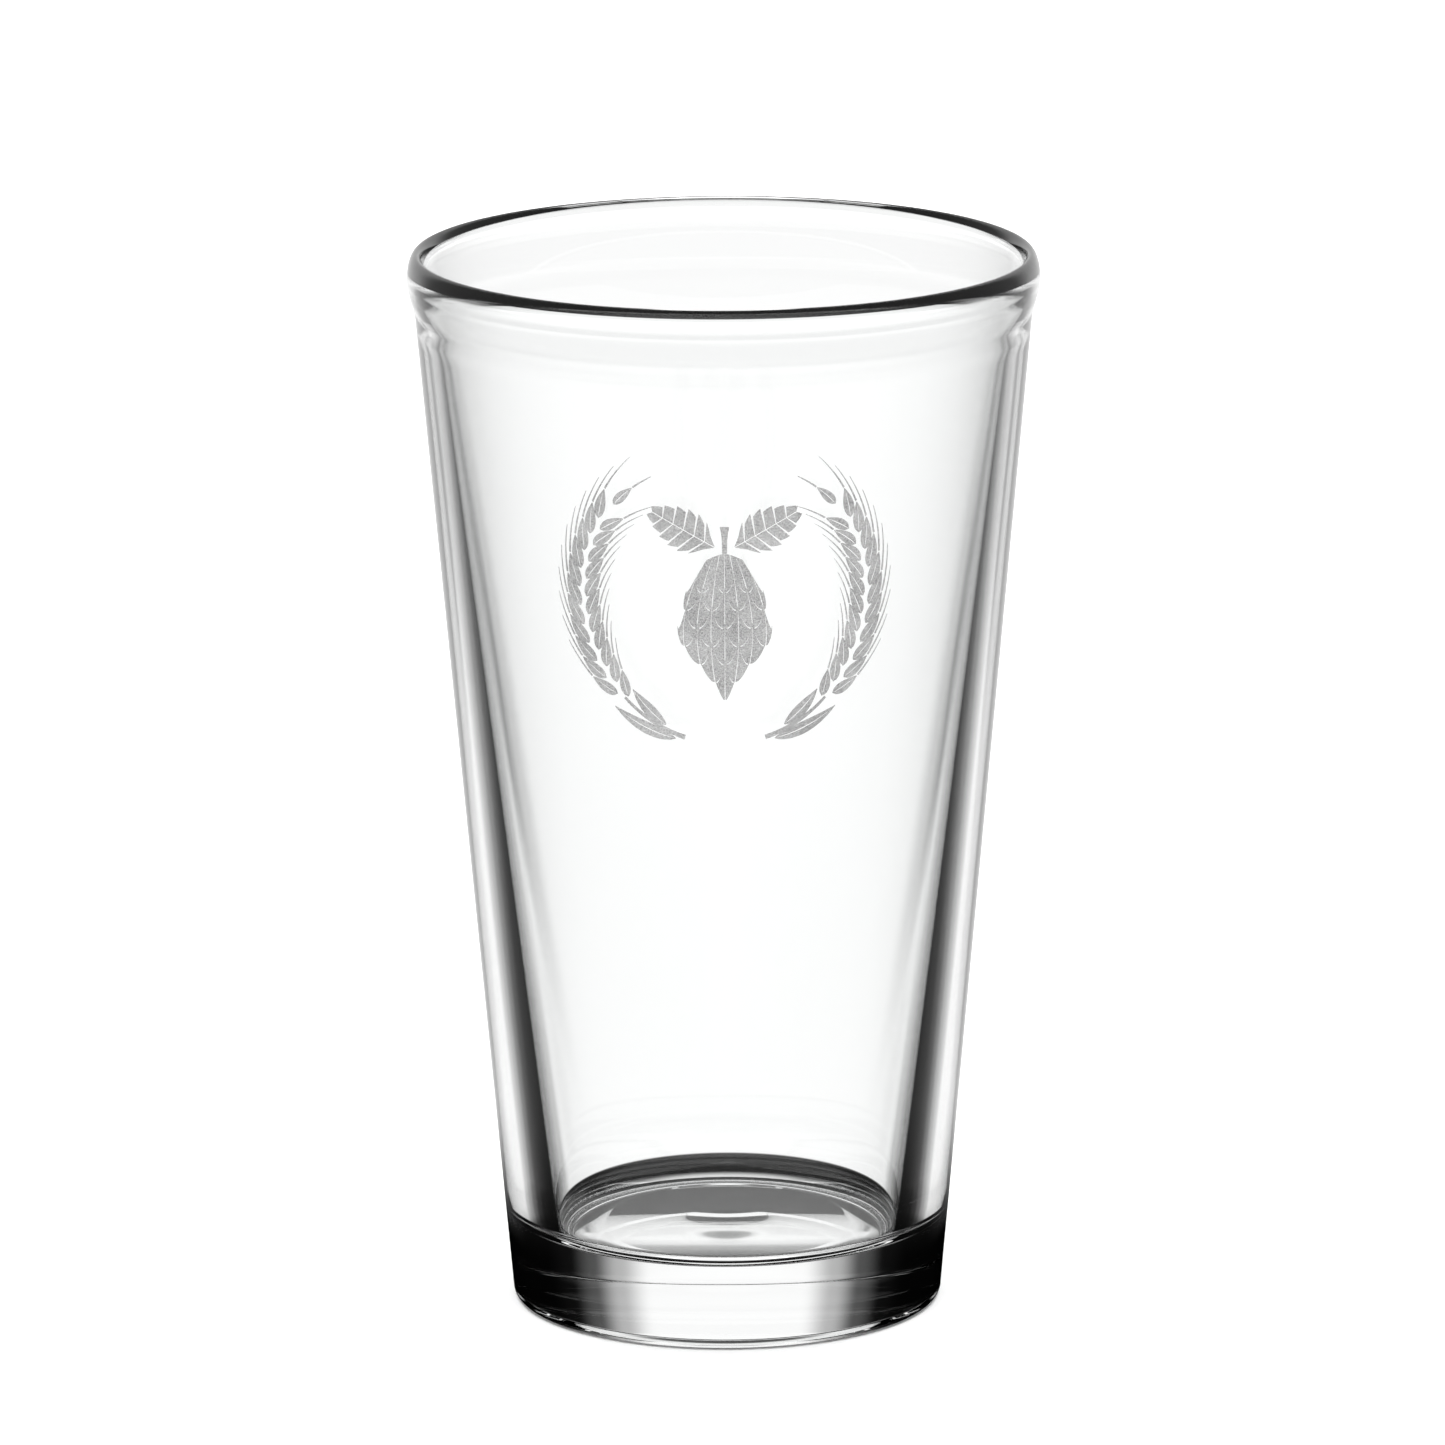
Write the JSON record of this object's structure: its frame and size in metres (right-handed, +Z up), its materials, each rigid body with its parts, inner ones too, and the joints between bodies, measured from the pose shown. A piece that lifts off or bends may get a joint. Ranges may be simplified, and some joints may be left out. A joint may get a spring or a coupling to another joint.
{
  "type": "pint glass",
  "caption": "Tapered clear pint glass with a thick foot, a rolled rim and a frosted barley and hop mark on the front.",
  "frame": {"origin": "centre of the foot, on the surface that the glass stands on", "axes": "+Z up along the glass's own axis, -Y out of the front, where the frosted mark is, +X to the right of someone who faces the mark"},
  "size_m": [0.0876, 0.0876, 0.1492],
  "materials": {
    "clear_glass": "clear pressed soda-lime glass, fire-polished",
    "etched_frost": "matt grey frosting, fine sandblasted grain"
  },
  "bodies": {
    "root": {"glass_body": "clear_glass", "etched_hop_cone": "etched_frost", "etched_left_ear": "etched_frost", "etched_right_ear": "etched_frost", "etched_left_leaf": "etched_frost", "etched_right_leaf": "etched_frost"}
  },
  "joints": []
}
